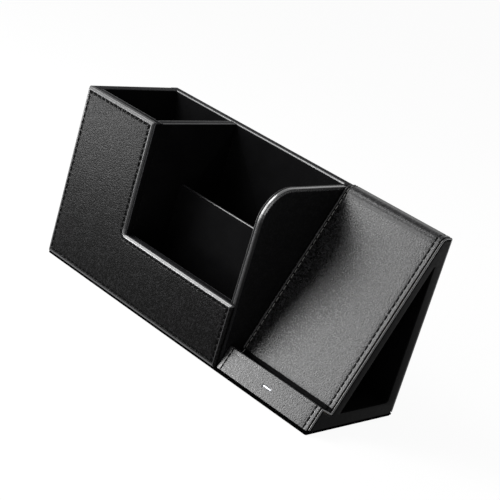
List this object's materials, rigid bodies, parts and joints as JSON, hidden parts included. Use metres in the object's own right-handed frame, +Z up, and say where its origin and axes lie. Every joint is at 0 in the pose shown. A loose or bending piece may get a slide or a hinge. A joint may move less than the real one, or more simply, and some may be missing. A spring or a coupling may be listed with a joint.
{
  "type": "desk organiser with charging stand",
  "caption": "Leather-covered desk organiser: tall pen cup, open compartments behind an L-shaped stitched front, and a sloping phone charging stand with a lip and a triangular tunnel.",
  "frame": {"origin": "middle of the base, on the surface that it stands on", "axes": "+X along the width from the pen cup to the stand, +Y from front to back, +Z up"},
  "size_m": [0.235, 0.076, 0.1138],
  "materials": {
    "leather": "fine pebbled black leather with a low sheen",
    "side_leather": "smooth matte black leather",
    "lining": "black suede lining",
    "board": "fibreboard",
    "base_plate": "fibreboard with a black painted edge",
    "foam": "thin grey foam",
    "base_pad": "matte non-slip sheet",
    "plastic": "black moulded plastic",
    "copper": "enamelled copper wire",
    "ferrite": "sintered ferrite",
    "circuit_board": "green solder mask",
    "component": "moulded black packages",
    "socket": "bright steel shell",
    "screw": "zinc plated steel",
    "light": "white light guide",
    "lead": "black insulated lead"
  },
  "bodies": {
    "root": {"base_pad": "base_pad", "front_leather": "leather", "front_foam": "foam", "front_board": "board", "front_edge_leather": "leather", "left_board": "board", "left_leather": "leather", "back_board": "board", "back_leather": "leather", "divider_board": "board", "divider_leather": "leather", "right_board": "board", "right_wall_leather": "leather", "floor_board": "board", "pen_cup_lining": "lining", "compartment_lining": "lining", "low_divider_board": "board", "low_divider_wrap": "lining", "joining_screws": "screw", "stand_base_plate": "base_plate", "stand_base_board": "board", "stand_slope_board": "board", "stand_back_board": "board", "stand_lip_block": "board", "stand_leather": "leather", "stand_piping": "leather", "stand_side_panel_left": "side_leather", "stand_side_panel_right": "side_leather", "tunnel_lining": "side_leather", "charger_housing": "plastic", "charger_lid": "plastic", "charging_coil": "copper", "ferrite_sheet": "ferrite", "charger_board": "circuit_board", "board_components": "component", "charging_socket": "socket", "housing_screws": "screw", "light_guide": "light", "light_board": "circuit_board", "light_lead": "lead"}
  },
  "joints": []
}
